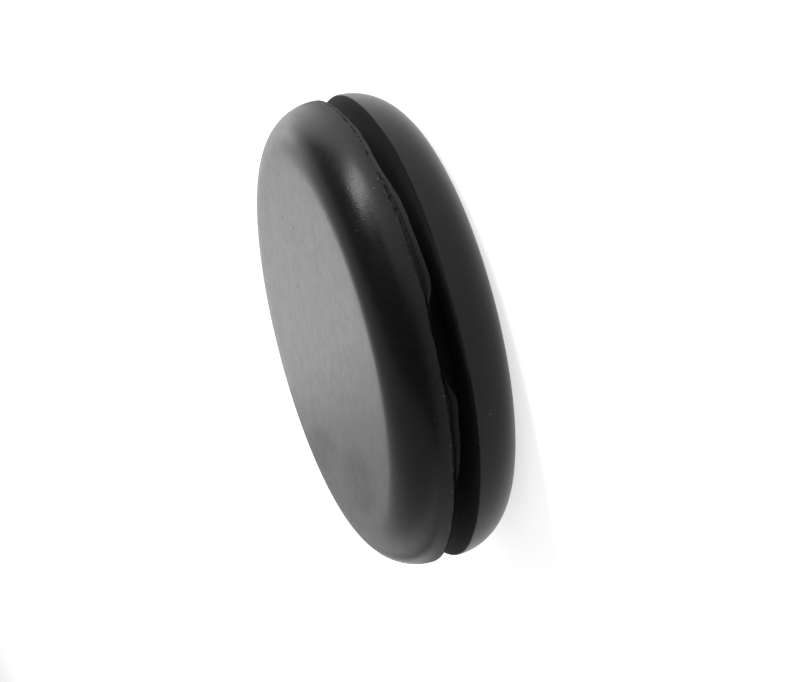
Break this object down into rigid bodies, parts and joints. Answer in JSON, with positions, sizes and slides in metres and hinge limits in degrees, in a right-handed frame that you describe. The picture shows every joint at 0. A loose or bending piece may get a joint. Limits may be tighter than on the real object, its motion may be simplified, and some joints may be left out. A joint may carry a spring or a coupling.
{
  "type": "rubber blanking plug",
  "caption": "Round black rubber plug with a narrow groove between rounded flanges, pushed into a hole in a thin panel to close it.",
  "frame": {"origin": "centre of the open flange's face, on the surface that the plug rests on", "axes": "+Z along the plug's axis, out of the closed face; X and Y lie in the plane of the flanges, which are round"},
  "size_m": [0.033, 0.033, 0.009],
  "materials": {
    "rubber": "semi-matte moulded rubber"
  },
  "bodies": {
    "root": {"blanking_plug": "rubber"}
  },
  "joints": []
}
